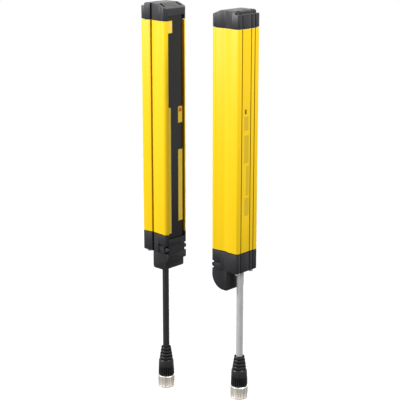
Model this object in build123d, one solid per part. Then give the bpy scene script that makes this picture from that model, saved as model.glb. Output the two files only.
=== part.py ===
from build123d import *
import os

# A safety light curtain: a receiver bar and an emitter bar that face each other.
# All sizes are millimetres. +Z is up and +X runs along the beams, from the receiver to the emitter.
# The origin is on the receiver's back face, at the middle of its housing.

# Housing extrusion: depth along X from the back face, half widths along Y
DEPTH = 35.0
HALF_WIDTH = 15.5
HOUSING_LENGTH = 222.0
BACK_FLAT_HALF = 13.4
BACK_CORNER_DEPTH = 2.6
BACK_CORNER_BULGE = 0.75
RAIL_END = 12.6
RAIL_END_HALF = 14.5
RAIL_BULGE = 0.35
SIDE_GROOVE_WIDTH = 2.0
SIDE_GROOVE_HALF = 12.7
CHEEK_START_HALF = 14.0
CHEEK_BULGE = 0.5
VALLEY_X = 18.6
VALLEY_HALF = 14.1
LEFT_RAIL_BULGE = 0.6
LEFT_CHEEK_BULGE = 0.3
NOSE_DEPTH = 6.0
NOSE_HALF = 12.6
NOSE_BULGE = 1.6
LIP_MOUTH_HALF = 11.7
LIP_ROOT_HALF = 10.7
BACK_GROOVES = (10.0, -3.0, -8.4)
BACK_GROOVE_WIDTH = 1.1
BACK_GROOVE_DEPTH = 1.2

# Inside of the extrusion
CAVITY_START = 7.5
CAVITY_HALF = 10.6
SCREW_PORT_X = 4.2
SCREW_PORT_Y = 10.2
SCREW_PORT_RADIUS = 1.25

# Front window
WINDOW_SINK = 2.0
WINDOW_THICKNESS = 2.6
WINDOW_HALF = 12.0
WINDOW_OVERRUN = 5.4
SLIDE_CLEARANCE = 0.1

# End caps and their seals
SEAL_THICKNESS = 0.8
SEAL_BACK = 1.5
SEAL_FRONT_MARGIN = 1.4
SEAL_HALF = 12.3
SEAL_CORNER = 2.5
CAP_SHOULDER = 13.0
CROWN_HEIGHT = 16.4
CROWN_BACK = 5.2
CROWN_FRONT_HEIGHT = 11.6
CROWN_SLOPE_DEPTH = 11.5
CROWN_EDGE = 1.1
SPIGOT_DEPTH = 4.5
SPIGOT_CLEARANCE = 0.2
BOTTOM_CAP_HEIGHT = 20.5
BOTTOM_CAP_EDGE = 1.3
GRIP_SLOT = (6.5, 2.0, 2.4)
GRIP_SLOT_FROM_FRONT = 15.5
GRIP_SLOT_Y = 8.2
REAR_SLOT = (2.2, 8.0, 2.0)
REAR_SLOT_X = 10.4
REAR_SLOT_Y = -4.0

# Cap screws
SCREW_HEAD_RADIUS = 2.3
SCREW_HEAD_HEIGHT = 2.4
SCREW_SHANK_RADIUS = 1.2
SCREW_BITE = 8.0
SCREW_HEAD_EDGE = 0.6
SCREW_SLOT_WIDTH = 0.7
SCREW_SLOT_DEPTH = 0.8
SCREW_CLEARANCE = 0.2
TOP_SCREW_SINK = 2.9

# Optics and electronics
BOARD_START = 8.4
BOARD_THICKNESS = 1.6
BOARD_HALF = 11.4
BOARD_SLOT_DEPTH = 1.0
BOARD_END_MARGIN = 5.5
BEAM_PITCH = 20.0
DIODE_BASE = (1.6, 4.4, 4.4)
DIODE_EYE_RADIUS = 1.4
DIODE_EYE_HEIGHT = 1.2
OPTICS_ROOM = 4.4
CARRIER_HALF = 10.4
CARRIER_END_MARGIN = 9.0
POCKET = 16.0
POCKET_FLOOR = 3.6
DIODE_HOLE = 5.0
LENS_PLATE_THICKNESS = 1.4
LENS_SIZE = 14.0
LENS_BEVEL = 1.5
LENS_RISE = 1.9
LENS_STRIP_END_MARGIN = 6.5
HEADER = (4.5, 12.0, 2.8)
GUIDE_SIZE = (2.2, 2.6)
GUIDE_Y = 8.6
GUIDE_LENGTH = 12.0

# Block under the front of each bottom cap
RECEIVER_BLOCK_DROP = 18.2
EMITTER_BLOCK_DROP = 20.6
BLOCK_HALF = 14.7
RECEIVER_BLOCK_DEPTH = 22.0
LOBE_FROM_CABLE = 6.6
BLOCK_ROUND = 2.6
BLOCK_STEP = 3.8
BLOCK_STEP_DROP = 8.6
TONGUE_DEPTH = 12.4
TONGUE_HEIGHT = 7.6
JOINT_GAP = 0.12
TONGUE_TOP_GAP = 0.8
LOBE_ROUND_SHARE = 0.77
FRONT_NOTCH_DEPTH = 4.2
FRONT_NOTCH_HEIGHT = 8.8
BEAD_RADIUS = 2.4
BEAD_MARGIN = 0.6
BEAD_STAND = 1.7

# Cable, grommet and round plug
CABLE_RADIUS = 3.5
CABLE_LENGTH = 91.5
RECEIVER_CABLE_FROM_FRONT = 17.2
EMITTER_CABLE_X = 9.2
GROMMET_RADIUS = 4.4
GROMMET_DEPTH = 6.0
GROMMET_LIP = 1.2
RELIEF_LENGTH = 14.0
RELIEF_TOP_RADIUS = 4.7
RELIEF_STEP = 0.35
RELIEF_RINGS = 4
RING_GROOVE = 1.2
RING_DEPTH = 0.8
GRIP_LENGTH = 18.0
GRIP_TOP_RADIUS = 7.2
GRIP_FOOT_RADIUS = 8.2
GRIP_SHOULDER = 1.0
GRIP_FLUTES = 10
FLUTE_WIDTH = 1.7
GRIP_FLUTE_LENGTH = 9.0
NECK_RADIUS = 4.62
NECK_LENGTH = 5.6
COLLAR_RADIUS = 5.1
COLLAR_HEIGHT = 0.9
NUT_RADIUS = 9.0
NUT_LENGTH = 13.2
NUT_CLEARANCE = 0.08
NUT_END_GAP = 0.3
NUT_NECK_WALL = 4.4
NUT_THREAD_RADIUS = 5.45
NUT_FLUTES = 20
NUT_FLUTE_WIDTH = 1.3
NUT_FLUTE_MARGIN = 1.7
NUT_EDGE = 0.4
INSERT_RADIUS = 4.1
CONTACT_RADIUS = 0.5
CONTACT_CIRCLE = 2.4
CONTACT_COUNT = 5
CONTACT_LENGTH = 6.0
INSERT_SEAT = 2.0

# Distance between the two back faces, with the windows facing
SPAN = 132.0

TOP = HOUSING_LENGTH / 2
BOTTOM = -HOUSING_LENGTH / 2
CAP_TOP_BASE = TOP + SEAL_THICKNESS
CAP_BOTTOM_BASE = BOTTOM - SEAL_THICKNESS
CAP_FLOOR = CAP_BOTTOM_BASE - BOTTOM_CAP_HEIGHT

# Places that follow the depth
CHEEK_END = DEPTH - NOSE_DEPTH
WINDOW_FACE = DEPTH - WINDOW_SINK
WINDOW_BACK = WINDOW_FACE - WINDOW_THICKNESS
SEAL_X = (SEAL_BACK, DEPTH - SEAL_FRONT_MARGIN)
GRIP_SLOT_X = DEPTH - GRIP_SLOT_FROM_FRONT
BOARD_FRONT = BOARD_START + BOARD_THICKNESS
CARRIER_FRONT = WINDOW_BACK - OPTICS_ROOM
RECEIVER_CABLE_X = DEPTH - RECEIVER_CABLE_FROM_FRONT
RECEIVER_BLOCK_BACK = DEPTH - RECEIVER_BLOCK_DEPTH
EMITTER_BLOCK_BACK = EMITTER_CABLE_X + LOBE_FROM_CABLE
LOBE_ROUND = LOBE_ROUND_SHARE * (DEPTH - EMITTER_BLOCK_BACK)
TONGUE_BACK = DEPTH - TONGUE_DEPTH
BEAD_X = DEPTH - FRONT_NOTCH_DEPTH + BEAD_STAND
BEAD_Z = CAP_FLOOR + FRONT_NOTCH_HEIGHT / 2

# Inner lengths and the number of beams that follow the housing
BOARD_LENGTH = HOUSING_LENGTH - 2 * BOARD_END_MARGIN
CARRIER_LENGTH = HOUSING_LENGTH - 2 * CARRIER_END_MARGIN
LENS_STRIP_LENGTH = HOUSING_LENGTH - 2 * LENS_STRIP_END_MARGIN
BEAM_COUNT = 1 + int((CARRIER_LENGTH - POCKET) // BEAM_PITCH)


def box(x, y, z):
    """A box between the low and high value given for each axis."""
    return Pos((x[0] + x[1]) / 2, (y[0] + y[1]) / 2, (z[0] + z[1]) / 2) * Box(
        x[1] - x[0], y[1] - y[0], z[1] - z[0]
    )


def upright(radius, x, y, z):
    """A cylinder along Z between the two heights in z."""
    return Pos(x, y, (z[0] + z[1]) / 2) * Cylinder(radius, z[1] - z[0])


def slab(face, z):
    """The face, drawn on XY, extruded between the two heights in z."""
    return Pos(0, 0, z[0]) * extrude(face, amount=z[1] - z[0])


# Sections
def bar_outline():
    """Outer section of the bar. The right side has the bracket groove and the left a soft valley."""
    groove_end = RAIL_END + SIDE_GROOVE_WIDTH
    with BuildSketch() as sketch:
        with BuildLine():
            Line((0, -BACK_FLAT_HALF), (0, BACK_FLAT_HALF))
            SagittaArc((0, BACK_FLAT_HALF), (BACK_CORNER_DEPTH, HALF_WIDTH), BACK_CORNER_BULGE)
            SagittaArc((BACK_CORNER_DEPTH, HALF_WIDTH), (VALLEY_X, VALLEY_HALF), LEFT_RAIL_BULGE)
            SagittaArc((VALLEY_X, VALLEY_HALF), (CHEEK_END, HALF_WIDTH), LEFT_CHEEK_BULGE)
            SagittaArc((CHEEK_END, HALF_WIDTH), (DEPTH, NOSE_HALF), NOSE_BULGE)
            Line((DEPTH, NOSE_HALF), (DEPTH, -NOSE_HALF))
            SagittaArc((DEPTH, -NOSE_HALF), (CHEEK_END, -HALF_WIDTH), NOSE_BULGE)
            SagittaArc((CHEEK_END, -HALF_WIDTH), (groove_end, -CHEEK_START_HALF), CHEEK_BULGE)
            Polyline(
                (groove_end, -CHEEK_START_HALF),
                (groove_end, -SIDE_GROOVE_HALF),
                (RAIL_END, -SIDE_GROOVE_HALF),
                (RAIL_END, -RAIL_END_HALF),
            )
            SagittaArc((RAIL_END, -RAIL_END_HALF), (BACK_CORNER_DEPTH, -HALF_WIDTH), RAIL_BULGE)
            SagittaArc((BACK_CORNER_DEPTH, -HALF_WIDTH), (0, -BACK_FLAT_HALF), BACK_CORNER_BULGE)
        make_face()
        for y in BACK_GROOVES:
            with Locations((BACK_GROOVE_DEPTH / 2, y)):
                Rectangle(BACK_GROOVE_DEPTH, BACK_GROOVE_WIDTH, mode=Mode.SUBTRACT)
    return sketch.sketch


def strip(x, half):
    """A rectangle from x[0] to x[1], half wide on each side of the middle."""
    return Pos((x[0] + x[1]) / 2, 0) * Rectangle(x[1] - x[0], 2 * half)


def housing_section():
    """The extrusion: outline, chamber, board slots, window slot, mouth between the lips, screw ports."""
    mouth = make_face(
        Polyline(
            (WINDOW_FACE, LIP_ROOT_HALF),
            (DEPTH, LIP_MOUTH_HALF),
            (DEPTH, -LIP_MOUTH_HALF),
            (WINDOW_FACE, -LIP_ROOT_HALF),
            close=True,
        )
    )
    section = bar_outline() - mouth
    section -= strip((CAVITY_START, WINDOW_BACK), CAVITY_HALF)
    section -= strip(
        (WINDOW_BACK - SLIDE_CLEARANCE, WINDOW_FACE), WINDOW_HALF + SLIDE_CLEARANCE
    )
    section -= strip(
        (BOARD_START - SLIDE_CLEARANCE, BOARD_FRONT + SLIDE_CLEARANCE),
        CAVITY_HALF + BOARD_SLOT_DEPTH,
    )
    for side in (-1, 1):
        section -= Pos(SCREW_PORT_X, side * SCREW_PORT_Y) * Circle(SCREW_PORT_RADIUS)
    return section


# Shells and seals
def housing():
    return slab(housing_section(), (BOTTOM, TOP))


def window():
    return box(
        (WINDOW_BACK, WINDOW_FACE),
        (-WINDOW_HALF, WINDOW_HALF),
        (BOTTOM - WINDOW_OVERRUN, TOP + WINDOW_OVERRUN),
    )


def window_room(z):
    """The space that the window takes in a cap or seal, open to the front."""
    half = WINDOW_HALF + SLIDE_CLEARANCE
    return box((WINDOW_BACK - SLIDE_CLEARANCE, DEPTH + 1), (-half, half), z)


def seal(z):
    """A flat gasket between the housing's end and a cap, open where spigot, window and screws pass."""
    plan = strip(SEAL_X, SEAL_HALF)
    gasket = slab(fillet(plan.vertices(), SEAL_CORNER), z)
    gasket -= box((CAVITY_START, DEPTH), (-CAVITY_HALF, CAVITY_HALF), z)
    gasket -= window_room(z)
    for side in (-1, 1):
        gasket -= upright(SCREW_PORT_RADIUS, SCREW_PORT_X, side * SCREW_PORT_Y, z)
    return max(gasket.solids(), key=lambda piece: piece.volume)


def spigot(z):
    """The tongue of a cap that plugs into the housing's chamber."""
    half = CAVITY_HALF - SPIGOT_CLEARANCE
    return box((CAVITY_START + SPIGOT_CLEARANCE, WINDOW_BACK - 2 * SPIGOT_CLEARANCE), (-half, half), z)


def top_cap():
    shoulder_top = CAP_TOP_BASE + CAP_SHOULDER
    crown_top = CAP_TOP_BASE + CROWN_HEIGHT
    front_top = CAP_TOP_BASE + CROWN_FRONT_HEIGHT
    slope_start = DEPTH - CROWN_SLOPE_DEPTH
    crown = box((CROWN_BACK, DEPTH), (-HALF_WIDTH, HALF_WIDTH), (CAP_TOP_BASE, crown_top))
    crown = chamfer(crown.edges().group_by(Axis.Z)[-1], CROWN_EDGE)
    crown = slab(bar_outline(), (CAP_TOP_BASE, crown_top)) & crown
    cap = slab(bar_outline(), (CAP_TOP_BASE, shoulder_top)) + crown
    wedge = make_face(
        Polyline(
            (slope_start, crown_top),
            (DEPTH + 1, front_top - (crown_top - front_top) / CROWN_SLOPE_DEPTH),
            (DEPTH + 1, crown_top + 1),
            (slope_start, crown_top + 1),
            close=True,
        )
    )
    cap -= extrude(Plane.XZ * wedge, amount=HALF_WIDTH + 1, both=True)
    cap += spigot((TOP - SPIGOT_DEPTH, CAP_TOP_BASE))
    cap -= window_room((TOP - SPIGOT_DEPTH, TOP + WINDOW_OVERRUN))
    length, width, sink = GRIP_SLOT
    for side in (-1, 1):
        cap -= Pos(GRIP_SLOT_X, side * GRIP_SLOT_Y, crown_top - sink / 2) * Box(length, width, sink)
        cap -= screw_room(side, (TOP - SPIGOT_DEPTH, shoulder_top - TOP_SCREW_SINK), crown_top + 1)
    cap -= Pos(REAR_SLOT_X, REAR_SLOT_Y, crown_top - REAR_SLOT[2] / 2) * Box(*REAR_SLOT)
    return cap


def screw_room(side, shank, top):
    """Clearance for one cap screw: a shank hole, then a wider pocket for its head up to top."""
    x, y = SCREW_PORT_X, side * SCREW_PORT_Y
    room = upright(SCREW_SHANK_RADIUS + SCREW_CLEARANCE, x, y, shank)
    return room + upright(SCREW_HEAD_RADIUS + SCREW_CLEARANCE, x, y, (shank[1], top))


def bottom_cap(cable_x):
    cap = box((0, DEPTH), (-HALF_WIDTH, HALF_WIDTH), (CAP_FLOOR, CAP_BOTTOM_BASE))
    cap = chamfer(cap.edges().group_by(Axis.Z)[0], BOTTOM_CAP_EDGE)
    cap = slab(bar_outline(), (CAP_FLOOR, CAP_BOTTOM_BASE)) & cap
    cap += spigot((CAP_BOTTOM_BASE, BOTTOM + SPIGOT_DEPTH))
    cap -= window_room((BOTTOM - WINDOW_OVERRUN, BOTTOM + SPIGOT_DEPTH))
    across = (-HALF_WIDTH - 1, HALF_WIDTH + 1)
    notch_back = DEPTH - FRONT_NOTCH_DEPTH
    cap -= box((notch_back, DEPTH + 1), across, (CAP_FLOOR - 1, CAP_FLOOR + FRONT_NOTCH_HEIGHT))
    tongue_room = (CAP_FLOOR - 1, CAP_FLOOR + TONGUE_HEIGHT + TONGUE_TOP_GAP)
    cap -= box((TONGUE_BACK - JOINT_GAP, notch_back + 1), across, tongue_room)
    for side in (-1, 1):
        x, y = SCREW_PORT_X, side * SCREW_PORT_Y
        cap -= upright(SCREW_SHANK_RADIUS + SCREW_CLEARANCE, x, y, (CAP_FLOOR - 1, CAP_BOTTOM_BASE + 1))
    return cap - upright(GROMMET_RADIUS, cable_x, 0, (CAP_FLOOR - 1, CAP_FLOOR + GROMMET_DEPTH))


# Screws
def screw(length):
    """A slotted screw on the Z axis: its head stands above z = 0 and its shank hangs below."""
    head = Pos(0, 0, SCREW_HEAD_HEIGHT / 2) * Cylinder(SCREW_HEAD_RADIUS, SCREW_HEAD_HEIGHT)
    head = chamfer(head.edges().group_by(Axis.Z)[-1], SCREW_HEAD_EDGE)
    body = head + Pos(0, 0, -length / 2) * Cylinder(SCREW_SHANK_RADIUS, length)
    slot = Box(2 * SCREW_HEAD_RADIUS, SCREW_SLOT_WIDTH, 2 * SCREW_SLOT_DEPTH)
    return body - Pos(0, 0, SCREW_HEAD_HEIGHT) * slot


def top_cap_screws():
    seat = CAP_TOP_BASE + CAP_SHOULDER - TOP_SCREW_SINK
    length = seat - TOP + SCREW_BITE
    return [Pos(SCREW_PORT_X, side * SCREW_PORT_Y, seat) * screw(length) for side in (-1, 1)]


def bottom_cap_screws():
    length = BOTTOM - CAP_FLOOR + SCREW_BITE
    turned = Rot(180, 0, 0) * screw(length)
    return [Pos(SCREW_PORT_X, side * SCREW_PORT_Y, CAP_FLOOR) * turned for side in (-1, 1)]


# Optics and electronics
def beam_heights():
    middle = (BEAM_COUNT - 1) / 2
    return [(index - middle) * BEAM_PITCH for index in range(BEAM_COUNT)]


def board():
    return box(
        (BOARD_START, BOARD_FRONT), (-BOARD_HALF, BOARD_HALF), (-BOARD_LENGTH / 2, BOARD_LENGTH / 2)
    )


def beam_diodes():
    """One optical element for each beam, standing on the board."""
    pieces = []
    for z in beam_heights():
        base = Pos(BOARD_FRONT + DIODE_BASE[0] / 2, 0, z) * Box(*DIODE_BASE)
        eye_x = BOARD_FRONT + DIODE_BASE[0] + DIODE_EYE_HEIGHT / 2
        eye = Pos(eye_x, 0, z) * Rot(0, 90, 0) * Cylinder(DIODE_EYE_RADIUS, DIODE_EYE_HEIGHT)
        pieces.append(base + eye)
    return pieces


def optics_carrier():
    """The black moulding that holds the lenses off the board and keeps the beams apart."""
    half = CARRIER_LENGTH / 2
    carrier = box((BOARD_FRONT, CARRIER_FRONT), (-CARRIER_HALF, CARRIER_HALF), (-half, half))
    floor = BOARD_FRONT + POCKET_FLOOR
    for z in beam_heights():
        reach = (z - POCKET / 2, z + POCKET / 2)
        carrier -= box((floor, CARRIER_FRONT), (-POCKET / 2, POCKET / 2), reach)
        carrier -= Pos(BOARD_FRONT + POCKET_FLOOR / 2, 0, z) * Box(POCKET_FLOOR, DIODE_HOLE, DIODE_HOLE)
    return carrier


def lens_strip():
    """One clear strip with a square bevelled lens in front of each pocket."""
    front = CARRIER_FRONT + LENS_PLATE_THICKNESS
    half = LENS_STRIP_LENGTH / 2
    strip_body = box((CARRIER_FRONT, front), (-CARRIER_HALF, CARRIER_HALF), (-half, half))
    lens = Pos(LENS_RISE / 2, 0, 0) * Box(LENS_RISE, LENS_SIZE, LENS_SIZE)
    lens = chamfer(lens.faces().sort_by(Axis.X)[-1].edges(), LENS_BEVEL)
    for z in beam_heights():
        strip_body += Pos(front, 0, z) * lens
    return strip_body


def terminal_header():
    depth, width, height = HEADER
    top = -CARRIER_LENGTH / 2
    return box((BOARD_FRONT, BOARD_FRONT + depth), (-width / 2, width / 2), (top - height, top))


def indicator_guide():
    """The short light guide that carries the status lamp to the window."""
    width, height = GUIDE_SIZE
    front = CARRIER_FRONT + LENS_PLATE_THICKNESS
    top = LENS_STRIP_LENGTH / 2
    return box((front, WINDOW_BACK), (GUIDE_Y - width / 2, GUIDE_Y + width / 2), (top - GUIDE_LENGTH, top))


# Blocks under the caps
def block_tongue():
    """The part of a block that sits in the cap, with the round bead that shows in the front notch."""
    front = DEPTH - FRONT_NOTCH_DEPTH
    tongue = box((TONGUE_BACK, front), (-BLOCK_HALF, BLOCK_HALF), (CAP_FLOOR, CAP_FLOOR + TONGUE_HEIGHT))
    start, end = bead_ends()
    bead = Pos(BEAD_X, (start + end) / 2, BEAD_Z) * Rot(90, 0, 0) * Cylinder(BEAD_RADIUS, end - start)
    length = BLOCK_HALF + 1 + start
    head_room = Pos(BEAD_X, start - length / 2, BEAD_Z) * Rot(90, 0, 0)
    block = tongue + bead - head_room * Cylinder(SCREW_HEAD_RADIUS + SCREW_CLEARANCE, length)
    hole = Pos(BEAD_X, start + SCREW_BITE / 2, BEAD_Z) * Rot(90, 0, 0)
    return block - hole * Cylinder(SCREW_SHANK_RADIUS, SCREW_BITE)


def bead_ends():
    """Ends of the bead across the bar. The screw head takes up the rest on the first side."""
    reach = BLOCK_HALF - BEAD_MARGIN
    return -reach + SCREW_HEAD_HEIGHT, reach


def rounded(block, x, radius):
    """The block with its lowest edge at x rounded."""
    low = block.edges().group_by(Axis.Z)[0]
    return fillet([edge for edge in low if abs(edge.center().X - x) < 0.01], radius)


def receiver_block():
    """The receiver's cable block: its front steps back halfway down, and the cable leaves its floor."""
    across = (-BLOCK_HALF, BLOCK_HALF)
    floor = CAP_FLOOR - RECEIVER_BLOCK_DROP
    step = CAP_FLOOR - BLOCK_STEP_DROP
    foot_front = DEPTH - BLOCK_STEP
    foot = box((RECEIVER_BLOCK_BACK, foot_front), across, (floor, step))
    foot = rounded(rounded(foot, foot_front, BLOCK_ROUND), RECEIVER_BLOCK_BACK, BLOCK_ROUND)
    head = rounded(box((RECEIVER_BLOCK_BACK, DEPTH), across, (step, CAP_FLOOR)), DEPTH, BLOCK_ROUND)
    block = head + foot + block_tongue()
    return block - upright(GROMMET_RADIUS, RECEIVER_CABLE_X, 0, (floor - 1, floor + GROMMET_DEPTH))


def emitter_block():
    """The emitter's end block: a lobe with one large round from its front to its floor."""
    across = (-BLOCK_HALF, BLOCK_HALF)
    lobe = box((EMITTER_BLOCK_BACK, DEPTH), across, (CAP_FLOOR - EMITTER_BLOCK_DROP, CAP_FLOOR))
    return rounded(lobe, DEPTH, LOBE_ROUND) + block_tongue()


def block_screw():
    """The side screw, whose head closes the end of the bead."""
    return Pos(BEAD_X, bead_ends()[0], BEAD_Z) * Rot(90, 0, 0) * screw(SCREW_BITE)


# Cable and plug
def grommet(x, floor):
    """A rubber bush round the cable, standing a little proud of the floor that it sits in."""
    bush = upright(GROMMET_RADIUS, x, 0, (floor - GROMMET_LIP, floor + GROMMET_DEPTH))
    return bush - upright(CABLE_RADIUS, x, 0, (floor, floor + GROMMET_DEPTH))


def cable(x, floor):
    return upright(CABLE_RADIUS, x, 0, (plug_top(floor), floor - GROMMET_LIP))


def plug_top(floor):
    return floor - GROMMET_LIP - CABLE_LENGTH


def plug_body(x, floor):
    """The moulded grip: a ringed strain relief, a fluted grip and the neck that the nut turns on."""
    z = plug_top(floor)
    profile = [(0, z)]
    pitch = RELIEF_LENGTH / RELIEF_RINGS
    for index in range(RELIEF_RINGS):
        radius = RELIEF_TOP_RADIUS + index * RELIEF_STEP
        profile += [(radius, z), (radius, z - pitch + RING_GROOVE)]
        profile += [(radius - RING_DEPTH, z - pitch + RING_GROOVE), (radius - RING_DEPTH, z - pitch)]
        z -= pitch
    grip_foot = z - GRIP_LENGTH
    collar_top = grip_foot - NECK_LENGTH
    collar_foot = collar_top - COLLAR_HEIGHT
    profile += [(GRIP_TOP_RADIUS - GRIP_SHOULDER, z), (GRIP_TOP_RADIUS, z - GRIP_SHOULDER)]
    profile += [(GRIP_FOOT_RADIUS, grip_foot), (NECK_RADIUS, grip_foot), (NECK_RADIUS, collar_top)]
    profile += [(COLLAR_RADIUS, collar_top), (COLLAR_RADIUS, collar_foot)]
    profile += [(INSERT_RADIUS, collar_foot), (INSERT_RADIUS, collar_foot + INSERT_SEAT)]
    profile += [(0, collar_foot + INSERT_SEAT)]
    body = revolve(Plane.XZ * make_face(Polyline(*profile, close=True)), Axis.Z)
    middle = grip_foot + GRIP_FLUTE_LENGTH / 2
    flute = flute_cutter(FLUTE_WIDTH, GRIP_FLUTE_LENGTH, GRIP_FOOT_RADIUS, middle)
    for index in range(GRIP_FLUTES):
        body -= Rot(0, 0, index * 360 / GRIP_FLUTES) * flute
    return Pos(x, 0, 0) * body


def flute_cutter(width, length, radius, z):
    """A square bar on edge, which cuts a V groove into a round surface of that radius."""
    return Pos(radius + width / 4, 0, z) * Rot(0, 0, 45) * Box(width, width, length)


def nut_levels(floor):
    """Top and bottom of the coupling nut, and the foot of its neck wall."""
    grip_foot = plug_top(floor) - RELIEF_LENGTH - GRIP_LENGTH
    top = grip_foot - NUT_END_GAP
    return top, top - NUT_LENGTH, top - NUT_NECK_WALL


def coupling_nut(x, floor):
    top, foot, wall_foot = nut_levels(floor)
    nut = upright(NUT_RADIUS, 0, 0, (foot, top))
    nut = chamfer(nut.edges().filter_by(GeomType.CIRCLE), NUT_EDGE)
    nut -= upright(NECK_RADIUS + NUT_CLEARANCE, 0, 0, (foot, top + 1))
    nut -= upright(NUT_THREAD_RADIUS, 0, 0, (foot - 1, wall_foot))
    length = NUT_LENGTH - 2 * NUT_FLUTE_MARGIN
    flute = flute_cutter(NUT_FLUTE_WIDTH, length, NUT_RADIUS, (top + foot) / 2)
    for index in range(NUT_FLUTES):
        nut -= Rot(0, 0, index * 360 / NUT_FLUTES) * flute
    return Pos(x, 0, 0) * nut


def plug_levels(floor):
    """Height of the collar's foot, where the contact insert starts."""
    return plug_top(floor) - RELIEF_LENGTH - GRIP_LENGTH - NECK_LENGTH - COLLAR_HEIGHT


def contact_insert(x, floor):
    start = plug_levels(floor) + INSERT_SEAT
    foot = nut_levels(floor)[1] + 1.0
    insert = upright(INSERT_RADIUS, x, 0, (foot, start))
    for place in contact_places(x):
        insert -= upright(CONTACT_RADIUS, place[0], place[1], (foot - 1, foot + CONTACT_LENGTH))
    key = box((x + INSERT_RADIUS - 0.9, x + INSERT_RADIUS + 0.5), (-0.6, 0.6), (foot - 1, start - 3))
    return insert - key


def contact_places(x):
    ring = [
        Vector(CONTACT_CIRCLE, 0).rotate(Axis.Z, 45 + 90 * index) for index in range(CONTACT_COUNT - 1)
    ]
    return [(x, 0)] + [(x + spot.X, spot.Y) for spot in ring]


def contacts(x, floor):
    """Contact sleeves in the insert, one group."""
    foot = nut_levels(floor)[1] + 1.0
    pieces = []
    for place in contact_places(x):
        sleeve = upright(CONTACT_RADIUS, place[0], place[1], (foot + 0.4, foot + CONTACT_LENGTH))
        pieces.append(sleeve)
    return pieces


# One bar, in the receiver's own place
def bar(diode_name, block, cable_x, cable_floor):
    return {
        "housing": housing(),
        "window": window(),
        "top_seal": seal((TOP, CAP_TOP_BASE)),
        "bottom_seal": seal((CAP_BOTTOM_BASE, BOTTOM)),
        "top_cap": top_cap(),
        "bottom_cap": bottom_cap(cable_x),
        "top_cap_screws": top_cap_screws(),
        "bottom_cap_screws": bottom_cap_screws(),
        "board": board(),
        diode_name: beam_diodes(),
        "optics_carrier": optics_carrier(),
        "lens_strip": lens_strip(),
        "terminal_header": terminal_header(),
        "indicator_guide": indicator_guide(),
        "end_block": block,
        "end_block_screw": block_screw(),
        "cable_grommet": grommet(cable_x, cable_floor),
        "cable": cable(cable_x, cable_floor),
        "plug_body": plug_body(cable_x, cable_floor),
        "coupling_nut": coupling_nut(cable_x, cable_floor),
        "contact_insert": contact_insert(cable_x, cable_floor),
        "contacts": contacts(cable_x, cable_floor),
    }


receiver_floor = CAP_FLOOR - RECEIVER_BLOCK_DROP
receiver = bar("photodiodes", receiver_block(), RECEIVER_CABLE_X, receiver_floor)
emitter = bar("infrared_leds", emitter_block(), EMITTER_CABLE_X, CAP_FLOOR)
facing = Pos(SPAN, 0, 0) * Rot(0, 0, 180)

os.makedirs("parts", exist_ok=True)
for prefix, pieces, place in (("receiver", receiver, Pos()), ("emitter", emitter, facing)):
    for node, shape in pieces.items():
        shapes = shape if isinstance(shape, list) else [shape]
        placed = [place * solid for piece in shapes for solid in piece.solids()]
        whole = placed[0] if len(placed) == 1 else Compound(children=placed)
        export_step(whole, f"parts/{prefix}_{node}.step")
print("receiver nut axis", RECEIVER_CABLE_X, "nut top and foot", nut_levels(receiver_floor)[:2])
print("emitter nut axis", SPAN - EMITTER_CABLE_X, "nut top and foot", nut_levels(CAP_FLOOR)[:2])
print(BEAM_COUNT, "beams")
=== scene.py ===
# %% [markdown]
# A safety light curtain is a pair of slim bars. One sends a row of infrared beams from its window and the
# other receives them. This script dresses the CAD model of the pair: it adds softened edges, finishes,
# printed fields, cables and knurled nuts, and then sets the light and the camera.
#
# The bars face each other along X, so SIDES says for each bar which way its front points, 1 or -1. Sizes are
# written in millimetres and become metres by MM, because the frame and Blender work in metres.

# %% Load the model
import math
import bmesh
import bpy
from mathutils import Matrix, Vector


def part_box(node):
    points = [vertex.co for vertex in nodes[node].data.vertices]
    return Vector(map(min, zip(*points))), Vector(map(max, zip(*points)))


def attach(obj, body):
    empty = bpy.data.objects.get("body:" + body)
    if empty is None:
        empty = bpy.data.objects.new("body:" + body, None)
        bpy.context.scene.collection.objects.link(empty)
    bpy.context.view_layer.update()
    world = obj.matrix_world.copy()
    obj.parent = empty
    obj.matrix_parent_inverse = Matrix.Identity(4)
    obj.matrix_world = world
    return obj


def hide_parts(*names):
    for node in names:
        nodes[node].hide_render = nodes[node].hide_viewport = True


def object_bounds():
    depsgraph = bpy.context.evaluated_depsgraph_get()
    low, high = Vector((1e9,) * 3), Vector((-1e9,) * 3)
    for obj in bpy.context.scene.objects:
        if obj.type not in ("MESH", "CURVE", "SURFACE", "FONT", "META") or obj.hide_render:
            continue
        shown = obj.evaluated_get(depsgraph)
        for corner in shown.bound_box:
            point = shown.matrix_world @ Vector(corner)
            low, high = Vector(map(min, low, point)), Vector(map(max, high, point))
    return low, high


MM = 0.001
SIDES = {"receiver": 1, "emitter": -1}

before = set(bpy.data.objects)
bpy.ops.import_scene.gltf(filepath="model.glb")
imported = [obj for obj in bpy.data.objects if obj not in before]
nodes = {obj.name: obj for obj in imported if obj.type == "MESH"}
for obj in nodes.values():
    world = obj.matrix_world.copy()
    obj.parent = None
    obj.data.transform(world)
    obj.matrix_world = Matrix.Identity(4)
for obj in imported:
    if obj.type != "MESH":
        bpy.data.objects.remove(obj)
cad_low, cad_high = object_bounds()
print("CAD box", [round(value, 4) for value in (*cad_low, *cad_high)])

# %% [markdown]
# The camera comes first, because every later choice is judged through it. It stands to the front right of
# the pair and a little above it, and looks down at the middle. A long lens keeps the bars nearly parallel.

# %% Camera
CAMERA_PLACE = (892.4, -892.8, 259.3)
CAMERA_TURN = 42.73
CAMERA_PITCH = 15.14
FOCAL_PIXELS = 1230.0
FRAME_PIXELS = 400

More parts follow.
